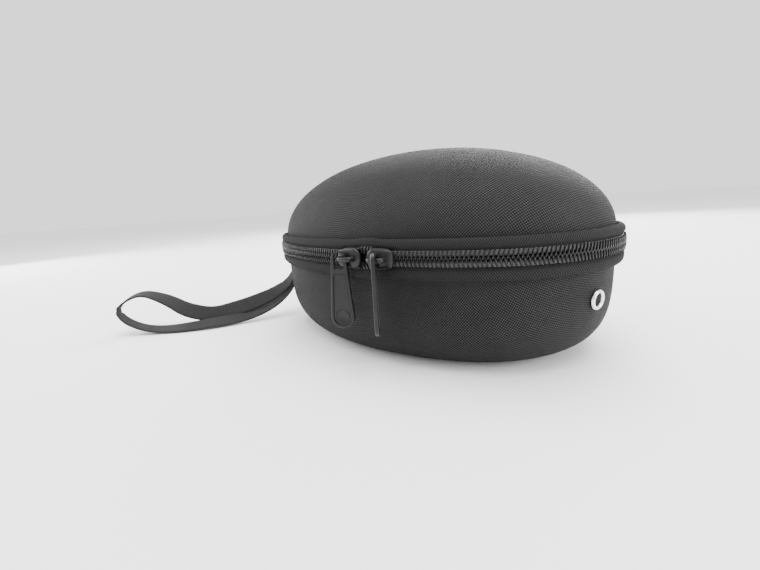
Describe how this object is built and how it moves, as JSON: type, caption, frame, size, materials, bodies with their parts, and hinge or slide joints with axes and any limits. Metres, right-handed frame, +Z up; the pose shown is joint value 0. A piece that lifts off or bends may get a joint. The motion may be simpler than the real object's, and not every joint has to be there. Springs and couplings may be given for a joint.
{
  "type": "headphone carrying case",
  "caption": "Zipped hard-shell carrying case for folded headphones: bowl base, domed lid on a fabric hinge, and a wrist strap.",
  "frame": {"origin": "middle of the flat underside, on the surface the case stands on", "axes": "+X towards the eyelet end, -Y the front where the sliders meet, +Y the hinge, +Z up"},
  "size_m": [0.2377, 0.1861, 0.0919],
  "materials": {
    "woven_cover": "woven, matt",
    "foam": "moulded foam, matt",
    "lining": "brushed knit",
    "binding": "ribbed tape",
    "zip_tape": "twill tape",
    "zip_coil": "satin nylon",
    "slider_metal": "satin paint",
    "eyelet_metal": "polished",
    "webbing": "ribbed webbing",
    "net": "open net",
    "elastic": "ribbed elastic"
  },
  "bodies": {
    "base": {"base_cover": "woven_cover", "base_core": "foam", "base_lining": "lining", "base_binding": "binding", "lower_zip_tape": "zip_tape", "lower_zip_coil": "zip_coil", "eyelet_barrel": "eyelet_metal", "eyelet_washer": "eyelet_metal", "strap_root": "webbing", "hinge_strip": "woven_cover", "hinge_lining": "lining"},
    "lid": {"lid_cover": "woven_cover", "lid_core": "foam", "lid_lining": "lining", "lid_binding": "binding", "upper_zip_tape": "zip_tape", "upper_zip_coil": "zip_coil", "mesh_pocket": "net", "pocket_elastic": "elastic"},
    "slider_left": {"slider_left": "slider_metal"},
    "slider_right": {"slider_right": "slider_metal"},
    "pull_tab_left": {"pull_tab_left": "slider_metal"},
    "pull_tab_right": {"pull_tab_right": "slider_metal"},
    "strap": {"wrist_strap": "webbing"}
  },
  "joints": [
    {"name": "lid_hinge", "type": "hinge", "parent": "base", "child": "lid", "pos_m": [0, 0.0656, 0.0465], "axis": [-1, 0, 0], "range_deg": [0, 175]},
    {"name": "slider_left_travel", "type": "hinge", "parent": "base", "child": "slider_left", "pos_m": [0, 0.07572, 0.0465], "axis": [0, 0, 1], "range_deg": [-29, 0]},
    {"name": "slider_right_travel", "type": "hinge", "parent": "base", "child": "slider_right", "pos_m": [0, 0.07572, 0.0465], "axis": [0, 0, 1], "range_deg": [0, 12]},
    {"name": "pull_left_swing", "type": "hinge", "parent": "slider_left", "child": "pull_tab_left", "pos_m": [0.0118, -0.06865, 0.0465], "axis": [0.1035, -0.9946, 0], "range_deg": [-60, 15]},
    {"name": "pull_right_swing", "type": "hinge", "parent": "slider_right", "child": "pull_tab_right", "pos_m": [0.0305, -0.06718, 0.0465], "axis": [-0.978, -0.2088, 0], "range_deg": [0, 150]},
    {"name": "strap_swing", "type": "hinge", "parent": "base", "child": "strap", "pos_m": [-0.0956, -0.02328, 0.0314], "axis": [-0.342, 0.9397, 0], "range_deg": [0, 60]}
  ]
}
